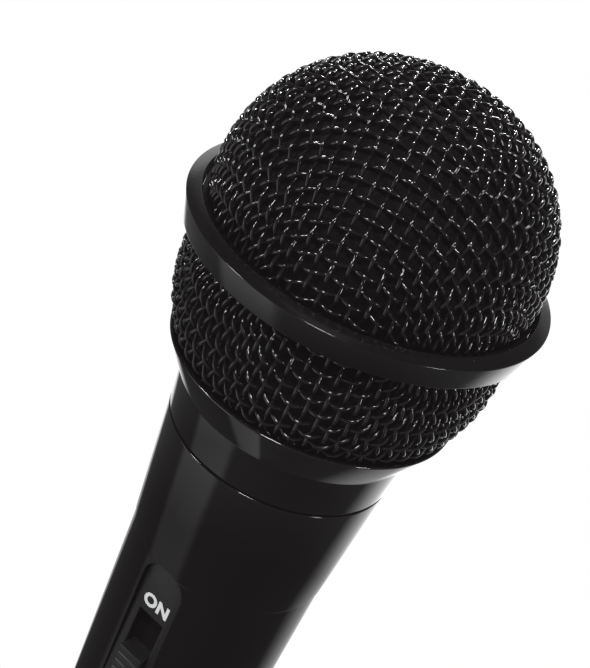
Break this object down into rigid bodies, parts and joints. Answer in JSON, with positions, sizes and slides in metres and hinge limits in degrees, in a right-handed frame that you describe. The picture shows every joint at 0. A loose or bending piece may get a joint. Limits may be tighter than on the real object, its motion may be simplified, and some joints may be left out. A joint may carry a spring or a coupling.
{
  "type": "hand-held karaoke microphone",
  "caption": "Wired hand-held vocal microphone: black woven ball grille with a guard band, flared collar, tapering gloss handle with a slide switch, and a tail plug socket.",
  "frame": {"origin": "centre of the tail face, at the mouth of the cable socket", "axes": "+Z along the microphone's axis towards the top of the grille; -Y towards the switch; +X completes a right-handed frame"},
  "size_m": [0.054, 0.054, 0.1674],
  "materials": {
    "black_mesh": "black painted woven wire",
    "gloss_black": "gloss black paint",
    "satin_plastic": "satin black moulding",
    "foam": "open-cell foam",
    "silk": "woven dust cloth",
    "rubber": "soft matt rubber",
    "fibre": "thin black fibre sheet",
    "steel": "plain zinc-plated steel",
    "plated": "bright nickel plate",
    "brass": "tinned brass",
    "copper": "enamelled copper wire",
    "film": "thin clear film",
    "white_plastic": "natural white moulding",
    "board": "green lacquered board",
    "red_lead": "red insulation",
    "white_lead": "white insulation"
  },
  "bodies": {
    "handle": {"handle_shell": "gloss_black", "cartridge_holder": "satin_plastic", "shock_ring": "rubber", "capsule_housing": "satin_plastic", "capsule_yoke": "steel", "capsule_magnet": "plated", "capsule_pole": "steel", "capsule_terminals": "brass", "diaphragm_surround": "film", "capsule_silk": "silk", "capsule_cap": "satin_plastic", "switch_plate": "satin_plastic", "switch_body": "steel", "switch_terminals": "brass", "switch_board": "board", "cartridge_leads": "red_lead", "output_leads": "white_lead", "ballast_weight": "steel", "tail_gasket": "rubber", "tail_sleeve": "plated", "socket_insulator": "satin_plastic", "socket_contacts": "plated", "tail_screw": "plated"},
    "switch_slider": {"switch_knob": "satin_plastic", "switch_lever": "white_plastic"},
    "washer": {"slip_washer": "fibre"},
    "head": {"grille_dome": "black_mesh", "grille_band": "gloss_black", "grille_joint_ring": "steel", "grille_cup": "black_mesh", "grille_collar": "gloss_black", "mesh_retainer": "steel", "dome_foam": "foam", "cup_foam": "foam"},
    "diaphragm": {"voice_coil": "copper", "diaphragm": "film"}
  },
  "joints": [
    {"name": "switch_slide", "type": "slide", "parent": "handle", "child": "switch_slider", "axis": [0, 0, 1], "range_m": [0, 0.007]},
    {"name": "grille_lift", "type": "slide", "parent": "handle", "child": "washer", "axis": [0, 0, 1], "range_m": [0, 0.007]},
    {"name": "grille_turn", "type": "hinge", "parent": "washer", "child": "head", "pos_m": [0, 0, 0.1075], "axis": [0, 0, 1], "range_deg": [0, 1440]},
    {"name": "diaphragm_travel", "type": "slide", "parent": "handle", "child": "diaphragm", "axis": [0, 0, 1], "range_m": [-0.0003, 0.0003], "stiffness_N_per_m": 600}
  ],
  "couplings": [
    {"joint": "grille_lift", "follows": "grille_turn", "m_per_rad": 0.00027852}
  ]
}
